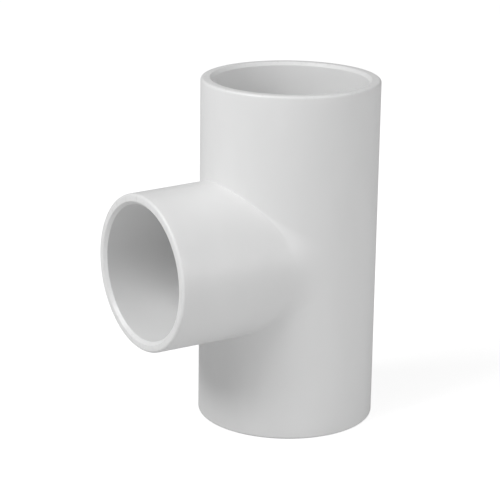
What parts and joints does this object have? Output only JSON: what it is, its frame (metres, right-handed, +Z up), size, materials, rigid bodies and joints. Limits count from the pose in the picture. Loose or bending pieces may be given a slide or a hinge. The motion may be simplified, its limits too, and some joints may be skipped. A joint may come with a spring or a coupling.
{
  "type": "pipe tee fitting",
  "caption": "White plastic socket tee for solvent-weld pipe: a straight run with a socket at each end and a slightly smaller side branch with a socket of its own.",
  "frame": {"origin": "centre of the bounding box's bottom face, level with the lower rim; the run's axis is 13.4 mm from it along +X", "axes": "+Z up along the run's axis, the branch leaves along -X at mid height, Y across"},
  "size_m": [0.0832, 0.0564, 0.1096],
  "materials": {
    "white_pvc": "moulded, soft satin gloss"
  },
  "bodies": {
    "root": {"tee_body": "white_pvc"}
  },
  "joints": []
}
